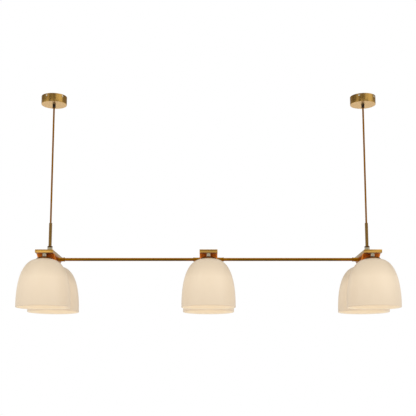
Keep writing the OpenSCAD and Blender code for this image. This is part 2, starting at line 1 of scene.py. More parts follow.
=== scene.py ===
"""Looks of a linear pendant light with six opal glass shades, dressed over its CAD frame.

Metres, +Z up, X along the bar and Y towards the rear shades. The ceiling is z = 0.
"""

import math

import bmesh
import bpy
from mathutils import Matrix, Vector


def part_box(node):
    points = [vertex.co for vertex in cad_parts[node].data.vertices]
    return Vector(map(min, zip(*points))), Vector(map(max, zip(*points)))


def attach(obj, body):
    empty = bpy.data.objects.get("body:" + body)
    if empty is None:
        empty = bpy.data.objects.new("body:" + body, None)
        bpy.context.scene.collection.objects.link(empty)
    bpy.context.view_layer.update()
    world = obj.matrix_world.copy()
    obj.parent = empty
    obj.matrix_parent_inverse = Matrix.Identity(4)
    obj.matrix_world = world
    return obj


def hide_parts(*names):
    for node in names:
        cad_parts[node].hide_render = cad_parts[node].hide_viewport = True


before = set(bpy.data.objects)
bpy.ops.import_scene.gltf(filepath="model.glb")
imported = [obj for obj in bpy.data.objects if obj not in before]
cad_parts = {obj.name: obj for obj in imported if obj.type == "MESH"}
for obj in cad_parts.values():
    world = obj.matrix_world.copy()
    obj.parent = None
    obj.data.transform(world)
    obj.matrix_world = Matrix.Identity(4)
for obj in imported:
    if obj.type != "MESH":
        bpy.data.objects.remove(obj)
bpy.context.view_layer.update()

mm = 0.001
turn = 2 * math.pi
SIDES = {"left": -1, "right": 1}
BRACKETS = {"left": -1, "centre": 0, "right": 1}
ROWS = ("front", "rear")

# Camera, fitted to the photograph's canopies, rims and bar
camera_x = -2 * mm
camera_distance = 3.246
camera_height = -1.125
camera_pitch = math.radians(8.89)
camera_lens = 73.2
camera_shift = 0.10

# Cords: the points of their route are shares of the free length between the two bends
cord_diameter = 7 * mm
braid_yarns = 8.0
braid_twist = turn / (6.5 * mm)

# Sizes that several pieces share
sheet = 1.5 * mm
thread_radius = 5 * mm
fit = 0.05 * mm
holder_radius = 19.5 * mm

# Glass bells: their wall follows (r / radius) ** roundness + (h / top) ** uprightness = 1
glass = 3.5 * mm
bell_roundness = 3
bell_uprightness = 2.4

# Studio: tones of the cards round the light, by degrees from its front towards its right
low_tones = [
    (-180, 0.42), (-155, 0.42), (-140, 0.7), (-100, 0.5), (-60, 0.9), (-46, 0.9), (-42, 0.1),
    (-28, 0.1), (-24, 0.92), (-12, 0.92), (-8, 0.5), (8, 0.5), (12, 0.72), (24, 0.72), (28, 0.1),
    (42, 0.1), (46, 0.9), (60, 0.9), (100, 0.5), (140, 0.7), (155, 0.42), (180, 0.42)]
high_tones = [
    (-180, 0.3), (-125, 0.22), (-110, 0.07), (-70, 0.08), (-60, 0.45), (-42, 0.45), (-32, 0.1),
    (16, 0.1), (24, 0.92), (84, 0.92), (96, 0.16), (180, 0.3)]

# The world's strength where it lights the pieces, and the floor's glow where it is seen
ambient_level = 0.72
floor_lift = 0.27


# Measures of the CAD nodes

def middle_of(node):
    """The middle of a node's box."""
    low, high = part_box(node)
    return (low + high) / 2


def levels_of(node):
    """The lowest and the highest level of a node."""
    low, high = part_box(node)
    return low.z, high.z


def depth_of(node):
    """Half of a node's size from front to rear: the radius of an upright round piece."""
    low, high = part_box(node)
    return (high.y - low.y) / 2


def lamp_radius_of(node):
    """Radius of a round piece that one node repeats at all six lamps."""
    return depth_of(node) - lamp_y["rear"]


# Places that several pieces share
cord_x = {side: middle_of(f"cord_{side}").x for side in SIDES}
cord_low, cord_high = levels_of("cord_left")
cord_length = cord_high - cord_low
bracket_x = {bracket: middle_of(f"cover_{bracket}").x for bracket in BRACKETS}
lamp_y = {row: middle_of(f"shade_{row}_centre").y for row in ROWS}
lamps = {
    f"{row}_{bracket}": (bracket_x[bracket], lamp_y[row])
    for row in ROWS for bracket in BRACKETS}
rim_level, crown_level = levels_of("shade_front_left")
shade_height = crown_level - rim_level


# Shader building

class Value:
    """A shader socket that Python expressions can work with."""

    def __init__(self, tree, socket):
        self.tree = tree
        self.socket = socket

    def maths(self, operation, *terms):
        """A Math node on these terms, sockets or numbers."""
        return self.tree.node("Math", {"operation": operation}, dict(enumerate(terms)))

    def __add__(self, other):
        return self.maths("ADD", self, other)

    __radd__ = __add__

    def __mul__(self, other):
        return self.maths("MULTIPLY", self, other)

    __rmul__ = __mul__

    def __sub__(self, other):
        return self.maths("SUBTRACT", self, other)

    def __rsub__(self, other):
        return self.maths("SUBTRACT", other, self)

    def __pow__(self, other):
        return self.maths("POWER", self, other)

    def __rpow__(self, other):
        return self.maths("POWER", other, self)

    def sine(self):
        return self.maths("SINE", self)

    def bearing(self, other):
        """The angle about Z whose sine and cosine are as this value and the other one."""
        return self.maths("ARCTAN2", self, other)

    def clamped(self):
        """This value, held between 0 and 1."""
        return self.maths("MINIMUM", self.maths("MAXIMUM", self, 0.0), 1.0)


class Tree:
    """The node tree of a material or of the world."""

    def __init__(self, owner):
        owner.use_nodes = True
        self.tree = owner.node_tree
        self.tree.nodes.clear()

    def node(self, kind, settings=None, inputs=None, output=0):
        """Adds a node: its settings first, then its sockets; returns one of its outputs."""
        made = self.tree.nodes.new("ShaderNode" + kind)
        for name, value in (settings or {}).items():
            if name == "stops":
                self.set_stops(made.color_ramp, value)
            else:
                setattr(made, name, value)
        for name, value in (inputs or {}).items():
            if isinstance(value, Value):
                self.tree.links.new(value.socket, made.inputs[name])
            else:
                made.inputs[name].default_value = value
        return Value(self, made.outputs[output]) if made.outputs else None

    @staticmethod
    def set_stops(ramp, stops):
        """Gives a colour ramp its stops."""
        while len(ramp.elements) < len(stops):
            ramp.elements.new(1.0)
        for element, (position, colour) in zip(ramp.elements, stops):
            element.position = position
            element.color = colour

    def local(self):
        """The piece's own coordinates, in metres from its origin."""
        return self.node("TexCoord", output="Object")

    def along(self, place, axis):
        """How far a place lies along the axis X, Y or Z."""
        return self.node("SeparateXYZ", inputs={0: place}, output=axis)

    def vector(self, x, y, z):
        return self.node("CombineXYZ", inputs={0: x, 1: y, 2: z})

    def noise(self, place, scale, detail=3.0, roughness=0.55):
        """Noise of a mean of 0.5, with scale cells to the metre."""
        return self.node(
            "TexNoise", {"noise_dimensions": "3D"},
            {"Vector": place, "Scale": scale, "Detail": detail, "Roughness": roughness})

    def stretched(self, place, factors):
        """A place that is scaled by factors along X, Y and Z, for streaks."""
        return self.node("VectorMath", {"operation": "MULTIPLY"}, {0: place, 1: factors})

    def ramp(self, value, *stops):
        """A colour ramp over a value from 0 to 1; each stop is a position and a colour."""
        return self.node("ValToRGB", {"stops": stops}, {0: value})

    def mix(self, factor, first, second):
        """The first colour at a factor of 0, the second one at 1."""
        return self.node(
            "Mix", {"data_type": "RGBA"}, {0: factor, 6: first, 7: second}, output=2)

    def bump(self, height, distance, strength):
        """A normal for a relief whose height runs from 0 to 1 over a distance in metres."""
        return self.node(
            "Bump", inputs={"Height": height, "Distance": distance, "Strength": strength})


class Finish(Tree):
    """A material with one principled shader; its constants sit on the shader itself."""

    def __init__(self, name):
        self.material = bpy.data.materials.new(name)
        super().__init__(self.material)

    def paint(self, **sockets):
        """Sets or links the shader's sockets, named as Blender does but with underscores."""
        named = {key.replace("_", " ").title(): value for key, value in sockets.items()}
        named = {key.replace("Ior", "IOR"): value for key, value in named.items()}
        shader = self.node("BsdfPrincipled", inputs=named)
        self.node("OutputMaterial", inputs={"Surface": shader})
        return self.material


def shown(red, green, blue):
    """The linear colour that a display shows as these values of 0 to 255."""
    linear = [
        c / 12.92 if c <= 0.04045 else ((c + 0.055) / 1.055) ** 2.4
        for c in (red / 255, green / 255, blue / 255)]
    return (*linear, 1.0)


def grey(tone):
    """A linear grey."""
    return (tone, tone, tone, 1)


# Finishes

def polished_brass(name, colour, dark, roughness, grain):
    """Polished brass: cloudy tone, fine hairlines and uneven gloss.

    grain holds the factors that squeeze the hairlines along X, Y and Z, or draw them out.
    """
    finish = Finish(name)
    streaks = finish.stretched(finish.local(), grain)
    cloud = finish.noise(streaks, 45.0)
    hairs = finish.noise(streaks, 900.0, detail=2.0)
    tone = cloud * 0.8 + hairs * 0.2
    return finish.paint(
        base_color=finish.mix(tone.clamped(), dark, colour),
        metallic=1.0,
        roughness=cloud * 0.08 + hairs * 0.06 + (roughness - 0.07),
        normal=finish.bump(hairs, 0.02 * mm, 0.12))


def spun_brass(name, colour, dark):
    """Brass that was brushed on a lathe: fine rings about the piece's own Z axis."""
    finish = Finish(name)
    place = finish.local()
    x, y = (finish.along(place, axis) for axis in "XY")
    radius = (x * x + y * y) ** 0.5
    rings = finish.noise(finish.vector(radius, 0.0, 0.0), 1600.0, roughness=0.7)
    cloud = finish.noise(place, 30.0)
    tone = rings * 0.7 + cloud * 0.3
    return finish.paint(
        base_color=finish.mix(tone.clamped(), dark, colour),
        metallic=1.0,
        roughness=rings * 0.16 + 0.24,
        normal=finish.bump(rings, 0.04 * mm, 0.5))


def bright_plate(name, colour, dark, roughness):
    """Bright plated metal with faint upright polishing marks."""
    finish = Finish(name)
    place = finish.local()
    marks = finish.noise(finish.stretched(place, (1, 1, 0.15)), 700.0)
    cloud = finish.noise(place, 60.0)
    tone = cloud * 0.6 + marks * 0.4
    return finish.paint(
        base_color=finish.mix(tone.clamped(), dark, colour),
        metallic=1.0,
        roughness=marks * 0.08 + (roughness - 0.02),
        normal=finish.bump(marks, 0.02 * mm, 0.3))


def zinc_plate(name, colour, dark):
    """Zinc-plated steel with a soft crystalline mottle."""
    finish = Finish(name)
    mottle = finish.noise(finish.local(), 240.0, detail=4.0)
    return finish.paint(
        base_color=finish.ramp(mottle, (0.3, dark), (0.7, colour)),
        metallic=1.0,
        roughness=mottle * 0.25 + 0.25,
        normal=finish.bump(mottle, 0.05 * mm, 0.4))


def moulded_plastic(name, colour, dark, roughness):
    """Moulded plastic: a fine spark-eroded grain and slightly uneven gloss."""
    finish = Finish(name)
    place = finish.local()
    grain = finish.noise(place, 2000.0, detail=2.0)
    cloud = finish.noise(place, 40.0)
    return finish.paint(
        base_color=finish.mix(cloud, dark, colour),
        roughness=grain * 0.10 + cloud * 0.08 + (roughness - 0.09),
        normal=finish.bump(grain, 0.03 * mm, 0.5),
        ior=1.5)


def soft_rubber(name, colour, dark):
    """Dull rubber with a fine grain."""
    finish = Finish(name)
    grain = finish.noise(finish.local(), 1500.0)
    return finish.paint(
        base_color=finish.ramp(grain, (0.3, dark), (0.7, colour)),
        roughness=grain * 0.2 + 0.6,
        normal=finish.bump(grain, 0.04 * mm, 0.6))


def woven_cover(name, colour, dark):
    """A braided textile cover: two sets of yarns that cross in diamonds, with painted shade in the
    hollows between them.
    """
    finish = Finish(name)
    place = finish.local()
    x, y, z = (finish.along(place, axis) for axis in "XYZ")
    around = y.bearing(x) * braid_yarns
    along = z * braid_twist
    crossing = (around + along).sine() * (around - along).sine()
    # Painted shade: the colour darkens where the yarns dip into the hollows that the cord's mesh
    # has.
    over = (crossing * 0.5 + 0.5).clamped()
    fibres = finish.noise(finish.stretched(place, (1, 1, 0.4)), 2400.0)
    tone = over * 0.65 + fibres * 0.5 - 0.08
    return finish.paint(
        base_color=finish.mix(tone.clamped(), dark, colour),
        roughness=fibres * 0.2 + 0.62,
        normal=finish.bump(fibres, 0.08 * mm, 0.7),
        specular_ior_level=0.05,
        ior=1.4)


def opal_glass(name, crown, body, rim, painted_glow_crown, painted_glow_rim, glow):
    """Satin opal glass with a soft cloud: painted shade darkens it towards the crown and the rim,
    and its painted emission changes from crown to rim.
    """
    finish = Finish(name)
    place = finish.local()
    fall = (finish.along(place, "Z") * (-1.0 / shade_height)).clamped()
    cloud = finish.noise(place, 9.0, detail=2.0)
    satin = finish.noise(place, 900.0, detail=2.0)
    level = (fall + cloud * 0.12 - 0.06).clamped()
    return finish.paint(
        # Painted shade: the base colour darkens towards the crown and a little towards the rim.
        base_color=finish.ramp(level, (0.0, crown), (0.4, body), (0.55, body), (1.0, rim)),
        roughness=satin * 0.06 + cloud * 0.08 + 0.36,
        normal=finish.bump(satin, 0.02 * mm, 0.1),
        coat_weight=0.1,
        coat_roughness=0.3,
        ior=1.5,
        # Painted glow: emission that stands in for the lit bulb's light coming through the glass.
        emission_color=finish.mix(level, painted_glow_crown, painted_glow_rim),
        emission_strength=glow)


def bulb_envelope(name, colour, dark, glow_colour, glow_dark):
    """The white globe of a bulb that is lit, faintly cloudy."""
    finish = Finish(name)
    cloud = finish.noise(finish.local(), 40.0)
    return finish.paint(
        base_color=finish.mix(cloud, dark, colour),
        roughness=cloud * 0.1 + 0.32,
        emission_color=finish.mix(cloud, glow_dark, glow_colour),
        emission_strength=0.5)


canopy_bottom = spun_brass("canopy_spun_brass", shown(242, 204, 142), shown(225, 182, 118))
canopy_wall = polished_brass(
    "canopy_polished_brass", shown(226, 184, 104), shown(186, 140, 68), 0.24, (1, 1, 10))
stem_brass = polished_brass(
    "stem_brass", shown(168, 132, 72), shown(136, 100, 46), 0.24, (1, 1, 0.06))
rod_brass = polished_brass(
    "rod_brass", shown(172, 118, 16), shown(146, 94, 8), 0.24, (1, 1, 0.06))
bracket_brass = polished_brass(
    "bracket_brass", shown(242, 194, 104), shown(228, 172, 80), 0.14, (0.08, 1, 1))
# The housing's brass is redder and deeper than the covers': painted reflection of the warm caps,
# crowns and brass around it.
housing_brass = polished_brass(
    "housing_brass", shown(232, 142, 36), shown(200, 108, 16), 0.24, (0.08, 1, 1))
cap_brass = polished_brass(
    "cap_brass", shown(142, 92, 36), shown(96, 56, 18), 0.22, (1, 1, 8))
ring_brass = polished_brass(
    "dark_ring_brass", shown(112, 78, 40), shown(78, 50, 22), 0.24, (1, 1, 8))
bright_metal = bright_plate(
    "bright_metal", shown(222, 210, 182), shown(172, 158, 130), 0.08)
contact_brass = bright_plate(
    "contact_brass", shown(228, 190, 112), shown(190, 146, 70), 0.22)
screw_metal = bright_plate(
    "screw_metal", shown(250, 244, 228), shown(226, 214, 190), 0.12)
steel = zinc_plate("zinc_steel", shown(205, 207, 210), shown(150, 152, 156))
black_plastic = moulded_plastic("grip_black", shown(42, 32, 26), shown(24, 18, 14), 0.36)
white_plastic = moulded_plastic(
    "holder_white", shown(238, 234, 224), shown(224, 218, 206), 0.38)
terminal_plastic = moulded_plastic(
    "terminal_white", shown(230, 228, 220), shown(214, 210, 200), 0.45)
lead_sheath = moulded_plastic("lead_grey", shown(190, 190, 186), shown(168, 168, 164), 0.5)
rubber = soft_rubber("washer_rubber", shown(86, 84, 82), shown(62, 60, 58))
cord_weave = woven_cover("cord_weave", shown(164, 108, 0), shown(98, 60, 0))
# Outside of the shades: painted shade on a darker crown and rim, and a faint warm painted glow of
# the lit bulbs.
glass_outside = opal_glass(
    "opal_glass", shown(206, 188, 161), shown(241, 222, 194), shown(233, 214, 187),
    shown(255, 218, 176), shown(255, 216, 178), 0.07)
# Inside of the shades: a stronger warm painted glow of the lit bulbs on the inner wall.
glass_inside = opal_glass(
    "opal_glass_inside", shown(238, 221, 196), shown(240, 227, 206), shown(239, 230, 214),
    shown(254, 218, 160), shown(248, 229, 198), 0.21)
bulb_glass = bulb_envelope(
    "bulb_glass", shown(252, 248, 238), shown(246, 238, 222),
    shown(255, 232, 196), shown(255, 222, 172))


# Mesh building

def shaped_ring(radius_at, level, count):
    """A closed ring of points about Z, whose radius depends on the angle."""
    points = []
    for i in range(count):
        angle = turn * i / count
        radius = radius_at(angle)
        points.append((radius * math.cos(angle), radius * math.sin(angle), level))
    return points


def ring(radius, level, count):
    """A circle of points about Z."""
    return shaped_ring(lambda angle: radius, level, count)


def rings_of(outline, count):
    """A circle about Z for each point of an outline of (radius, level)."""
    return [ring(radius, level, count) for radius, level in outline]


def wave(phase):
    """A smooth wave: 0 at a phase of 0, and 1 at half a turn."""
    return 0.5 - 0.5 * math.cos(phase)


def thread(radius, low, high, pitch, depth, per_turn, count, profile=wave):
    """Rings of a screw thread, which runs out over one turn at both ends."""
    steps = int((high - low) / pitch * per_turn)
    rings = []
    for k in range(steps + 1):
        level = low + (high - low) * k / steps
        groove = depth * min(1, k / per_turn, (steps - k) / per_turn)
        rings.append(shaped_ring(
            lambda angle: radius - profile(turn * level / pitch - angle) * groove,
            level, count))
    return rings


def arc(middle, radius, start, end, steps):
    """Points of an arc in the (radius, level) plane; the angles are in degrees."""
    angles = [math.radians(start + (end - start) * i / steps) for i in range(steps + 1)]
    return [
        (middle[0] + radius * math.cos(a), middle[1] + radius * math.sin(a)) for a in angles]


def round_rect(width, length, radius, level, steps):
    """A rectangle of points with round corners, at one level."""
    corners = [(1, 1, 0), (-1, 1, 90), (-1, -1, 180), (1, -1, 270)]
    points = []
    for x, y, start in corners:
        middle = (x * (width / 2 - radius), y * (length / 2 - radius))
        corner = arc(middle, radius, start, start + 90, steps)
        points += [(px, py, level) for px, py in corner]
    return points


def skin(rings, loop=False, finish_of=lambda number: 0):
    """A closed surface through rings of equally many points.

    A loop joins its last ring to its first; any other skin has a flat cap at both ends.
    finish_of gives the number of the material between one ring and the next.
    """
    shape = bmesh.new()
    rows = [[shape.verts.new(point) for point in points] for points in rings]
    pairs = list(zip(rows, rows[1:] + rows[:1] if loop else rows[1:]))
    for number, (row, following) in enumerate(pairs):
        for i, vertex in enumerate(row):
            j = (i + 1) % len(row)
            face = shape.faces.new((vertex, row[j], following[j], following[i]))
            face.material_index = finish_of(number)
    if not loop:
        shape.faces.new(rows[0][::-1]).material_index = finish_of(0)
        shape.faces.new(rows[-1]).material_index = finish_of(len(rows) - 2)
    bmesh.ops.recalc_face_normals(shape, faces=shape.faces)
    return shape


def lathe(outline, count, finish_of=lambda number: 0):
    """A closed outline of (radius, level) that is turned about Z."""
    return skin(rings_of(outline, count), loop=True, finish_of=finish_of)


def piece(name, shape, body, finishes, nodes, place, turned=None, crease=38):
    """Makes a shape a piece of the light: placed, smooth but for its creases, and riding.

    crease is the angle in degrees from which an edge stays sharp.
    """
    limit = math.radians(crease)
    for face in shape.faces:
        face.smooth = True
    for edge in shape.edges:
        edge.smooth = edge.calc_face_angle(0.0) < limit
    mesh = bpy.data.meshes.new(name)
    shape.to_mesh(mesh)
    shape.free()
    for finish in finishes:
        mesh.materials.append(finish)
    made = bpy.data.objects.new(name, mesh)
    bpy.context.scene.collection.objects.link(made)
    made.matrix_world = Matrix.Translation(place) @ (turned or Matrix.Identity(4))
    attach(made, body)
    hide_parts(*nodes)
    return made


def set_camera():
    """The camera, in front of the light and below its bar."""
    data = bpy.data.cameras.new("camera")
    data.lens = camera_lens
    data.sensor_width = 36
    data.shift_y = camera_shift
    camera = bpy.data.objects.new("camera", data)
    bpy.context.scene.collection.objects.link(camera)
    camera.location = (camera_x, -camera_distance, camera_height)
    camera.rotation_euler = (math.pi / 2 + camera_pitch, 0, 0)
    bpy.context.scene.camera = camera


# Pieces of the light

def make_cord(side):
    """A cord's braided tube, straight from the bend in its grip to the bend in its stem."""
    radius = cord_diameter / 2
    facets = 32
    spacing = 0.8 * mm
    relief = 0.11 * mm
    end_radius = radius - 0.5 * mm
    steps = round(cord_length / spacing)

    def braid(angle, level):
        around = braid_yarns * angle
        along = braid_twist * level
        crossing = math.sin(around + along) * math.sin(around - along)
        return radius - relief * (0.5 - 0.5 * crossing)

    rings = [ring(end_radius, 0, facets)]
    for k in range(1, steps):
        level = -cord_length * k / steps
        rings.append(shaped_ring(lambda angle: braid(angle, level), level, facets))
    rings.append(ring(end_radius, -cord_length, facets))
    top = Vector((cord_x[side], 0, cord_high))
    made = piece(
        f"woven_cord_{side}", skin(rings), f"sway_{side}", [cord_weave],
        [f"cord_{side}"], top, crease=60)


def make_canopy(side):
    """A spun canopy: polished wall, rolled lower edge and lathe-brushed underside."""
    node = f"canopy_{side}"
    low, high = levels_of(node)
    radius = depth_of(node)
    roll = 1.4 * mm
    soft = 0.3 * mm
    fold = 1 * mm
    hole = thread_radius + fit
    ripple_pitch = 1.2 * mm
    ripple_depth = 0.017 * mm
    per_ripple = 4
    flat = radius - roll - hole
    count = int(flat / ripple_pitch) * per_ripple
    underside = [
        (hole + flat * i / count, low + ripple_depth * wave(turn * i / per_ripple))
        for i in range(count + 1)]
    rolled = arc((radius - roll, low + roll), roll, -78, 0, 8)
    wall = [(radius, low + share * (high - low)) for share in (0.35, 0.7)]
    rim = [(radius, high - soft), (radius - soft, high), (radius - sheet, high)]
    inside = [
        (radius - sheet, low + sheet + fold), (radius - sheet - fold, low + sheet),
        (hole, low + sheet)]
    brushed = len(underside) + 2
    shape = lathe(
        underside + rolled + wall + rim + inside, 128,
        finish_of=lambda number: 0 if number < brushed else 1)
    piece(
        f"brass_canopy_{side}", shape, "ceiling",
        [canopy_bottom, canopy_wall], [node], (cord_x[side], 0, 0))


def screw(head_radius, head_height, shaft_radius, shaft_length, socket_across):
    """A dome-headed screw about Z: head above z = 0, hexagon socket, threaded shaft below."""
    count = 48
    pitch = 0.7 * mm
    groove = 0.25 * mm
    per_turn = 4
    thread_steps = int(shaft_length / pitch) * per_turn
    rings = []
    for k in range(thread_steps + 1):
        level = -shaft_length + pitch * k / per_turn
        rings.append(shaped_ring(
            lambda angle: shaft_radius - groove * wave(turn * level / pitch - angle),
            level, count))
    rings.append(ring(shaft_radius, -0.1 * mm, count))
    flat_share = math.cos(turn / 12)
    socket_radius = socket_across / 2 / flat_share
    mouth_radius = socket_radius * 1.25
    dome_end = math.acos(min(0.95, mouth_radius / head_radius))
    dome_steps = 8
    rings.append(ring(head_radius - 0.2 * mm, 0, count))
    for i in range(dome_steps + 1):
        angle = dome_end * i / dome_steps
        level = 0.15 * mm + 0.92 * head_height * math.sin(angle)
        rings.append(ring(head_radius * math.cos(angle), level, count))

    def hexagon(scale, level):
        half_across = socket_radius * scale * flat_share
        return shaped_ring(
            lambda angle: half_across / math.cos(angle % (turn / 6) - turn / 12), level, count)

    mouth = head_height * math.sin(dome_end)
    floor = mouth - 0.62 * head_height
    rings += [
        hexagon(1.08, 0.97 * mouth), hexagon(1.0, 0.9 * mouth), hexagon(1.0, floor),
        hexagon(0.2, floor - 0.2 * mm)]
    return skin(rings)


def make_side_screws():
    """Four screws through each canopy's wall into the ceiling plate's rim."""
    node = "canopy_screws"
    low, high = levels_of(node)
    bearings = (-116, -40, 64, 140)
    gap_on_curve = 0.3 * mm
    seat = depth_of("canopy_left") + gap_on_curve
    for side in SIDES:
        for number, bearing in enumerate(bearings):
            angle = math.radians(bearing)
            out = Vector((math.cos(angle), math.sin(angle), 0))
            place = Vector((cord_x[side], 0, (low + high) / 2)) + out * seat
            turned = out.to_track_quat("Z", "Y").to_matrix().to_4x4()
            shape = screw(
                head_radius=(high - low) / 2, head_height=2 * mm, shaft_radius=2 * mm,
                shaft_length=4.6 * mm, socket_across=2.5 * mm)
            piece(
                f"side_screw_{side}_{number + 1}", shape, "ceiling",
                [screw_metal], [node], place, turned)


def make_grip(side):
    """The dark cord grip: a plain collar with a rolled mouth that the cord leaves."""
    node = f"cord_grip_{side}"
    low, high = levels_of(node)
    seat = levels_of(f"canopy_{side}")[0]
    radius = depth_of(node)
    roll = 1 * mm
    shy = 0.1 * mm
    waist = radius - 0.45 * mm
    mouth = 5.4 * mm
    mouth_top = low + 7 * mm
    mouth_soft = 0.8 * mm
    bore = cord_diameter / 2 + fit
    outline = [
        (mouth + 0.5 * mm, low), (radius - roll, low),
        *arc((radius - roll - shy, low + roll), roll, -70, 0, 6),
        (radius - shy, seat - 3.4 * mm), (waist, seat - 3.1 * mm), (waist, seat - 2.7 * mm),
        (radius, seat - 2.4 * mm), (radius, seat - 0.3 * mm), (radius - 0.3 * mm, seat),
        (thread_radius, seat), (thread_radius, high - 0.4 * mm), (thread_radius - 0.4 * mm, high),
        (bore, high), (bore, mouth_top), (mouth - mouth_soft, mouth_top),
        (mouth, mouth_top - mouth_soft), (mouth, low + 0.5 * mm)]
    piece(
        f"dark_grip_{side}", lathe(outline, 64), "ceiling", [black_plastic],
        [node], (cord_x[side], 0, 0))


def make_stem(side):
    """A stem tube with a softly rolled top edge and a fine turned line below it."""
    node = f"stem_{side}"
    low, high = levels_of(node)
    radius = depth_of(node)
    bore = 4.7 * mm
    roll = 0.65 * mm
    line = radius - 0.3 * mm
    outline = [
        (bore, low), (radius, low), (radius, high - 2.4 * mm), (line, high - 2.1 * mm),
        (line, high - 1.8 * mm), (radius, high - 1.5 * mm),
        *arc((radius - roll, high - roll), roll, 0, 180, 10)]
    piece(
        f"stem_tube_{side}", lathe(outline, 64), "fixture", [stem_brass],
        [node], (cord_x[side], 0, 0))


def make_collar(side):
    """The bright collar at a stem's foot, screwed through the cover."""
    node = "stem_collars"
    low, high = levels_of(node)
    seat = levels_of("cover_left")[1]
    stem_end = levels_of("stem_left")[0]
    radius = depth_of(node)
    roll = 0.6 * mm
    line = radius - 0.35 * mm
    bore = 3.8 * mm
    socket = depth_of("stem_left") + fit
    outline = [
        (bore, low), (thread_radius, low), (thread_radius, seat), (radius - roll, seat),
        *arc((radius - roll, seat + roll), roll, -60, 0, 4),
        (radius, seat + 2.6 * mm), (line, seat + 2.9 * mm), (line, seat + 3.5 * mm),
        (radius, seat + 3.8 * mm), (radius, high - 0.5 * mm), (radius - 0.4 * mm, high),
        (socket, high), (socket, stem_end), (bore, stem_end)]
    piece(
        f"bright_collar_{side}", lathe(outline, 72), "fixture",
        [bright_metal], [node], (cord_x[side], 0, 0))


def make_collar_ring(side):
    """The dark ring on top of a collar, rounded over towards the stem."""
    node = "collar_rings"
    low, high = levels_of(node)
    radius = depth_of(node)
    roll = 1.6 * mm
    bore = depth_of("stem_left") + fit
    outline = [
        (bore, low), (radius - 0.5 * mm, low), (radius, low + 0.6 * mm),
        (radius, (low + high) / 2), *arc((radius - roll, high - roll), roll, 0, 90, 8),
        (bore, high)]
    piece(
        f"dark_ring_{side}", lathe(outline, 72), "fixture", [ring_brass],
        [node], (cord_x[side], 0, 0))


def make_rod(side):
    """A rod between two brackets, with softened ends."""
    node = f"rod_{side}"
    low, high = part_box(node)
    length = high.x - low.x
    radius = depth_of(node)
    bore = 4.8 * mm
    soft = 0.4 * mm
    outline = [
        (bore, 0), (radius - soft, 0), (radius, soft), (radius, length / 3),
        (radius, length * 2 / 3), (radius, length - soft), (radius - soft, length),
        (bore, length)]
    start = Vector((low.x, 0, (low.z + high.z) / 2))
    piece(
        f"brass_rod_{side}", lathe(outline, 64), "fixture", [rod_brass],
        [node], start, Matrix.Rotation(turn / 4, 4, "Y"))


def make_cover(bracket):
    """A bracket's cover: a crisp folded tray turned upside down, bevelled along its top."""
    node = f"cover_{bracket}"
    low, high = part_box(node)
    width = high.x - low.x
    length = high.y - low.y
    bevel = 0.8 * mm
    lip = 0.25 * mm
    corner = 2 * mm
    inner_corner = 1 * mm

    def outline(inset, level, radius):
        return round_rect(width - 2 * inset, length - 2 * inset, radius, level, 6)

    rings = [
        outline(bevel + lip, high.z, corner - bevel),
        outline(bevel, high.z - lip * 0.3, corner - bevel),
        outline(lip * 0.3, high.z - bevel, corner),
        outline(0, high.z - bevel - lip, corner),
        outline(0, low.z + lip, corner),
        outline(lip, low.z, corner),
        outline(sheet - lip, low.z, inner_corner),
        outline(sheet, low.z + lip, inner_corner),
        outline(sheet, high.z - sheet - lip, inner_corner),
        outline(sheet + lip, high.z - sheet, inner_corner)]
    hole = thread_radius + fit
    bearings = [math.atan2(y, x) for x, y, level in rings[0]]

    def hole_edge(level):
        return [(hole * math.cos(a), hole * math.sin(a), level) for a in bearings]

    carries_stem = bracket in SIDES
    if carries_stem:
        rings = [hole_edge(high.z), *rings, hole_edge(high.z - sheet)]
    piece(
        f"brass_cover_{bracket}", skin(rings, loop=carries_stem), "fixture",
        [bracket_brass], [node], (bracket_x[bracket], 0, 0), crease=28)


def make_housing(bracket):
    """A bracket's housing: a folded brass box whose front and rear slope in downwards."""
    node = f"housing_{bracket}"
    low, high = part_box(node)
    width = high.x - low.x
    low_length = 100 * mm
    wall = 2 * mm
    corner = 5 * mm
    roll = 0.9 * mm
    slope = (high.y - low.y - low_length) / (high.z - low.z)

    def outline(inset, level):
        length = low_length + slope * (level - low.z)
        return round_rect(width - 2 * inset, length - 2 * inset, corner - inset, level, 8)

    rings = [
        outline(roll, low.z), outline(roll * 0.3, low.z + roll * 0.3),
        outline(0, low.z + roll), outline(0, high.z),
        outline(wall, high.z), outline(wall, low.z + wall)]
    piece(
        f"brass_housing_{bracket}", skin(rings), "fixture",
        [housing_brass], [node], (bracket_x[bracket], 0, 0), crease=28)


def make_bracket_screws():
    """Two screws from below through each housing, base and cover."""
    node = "bracket_screws"
    low, high = levels_of(node)
    seat = levels_of("housing_left")[0]
    across = 16 * mm
    along = 36 * mm
    upside_down = Matrix.Rotation(turn / 2, 4, "X")
    for bracket in BRACKETS:
        for number, sign in enumerate((-1, 1)):
            place = (bracket_x[bracket] + sign * across, sign * along, seat)
            shape = screw(
                head_radius=4 * mm, head_height=seat - low, shaft_radius=2 * mm,
                shaft_length=high - seat, socket_across=3 * mm)
            piece(
                f"bracket_screw_{bracket}_{number + 1}", shape, "fixture",
                [screw_metal], [node], place, upside_down)


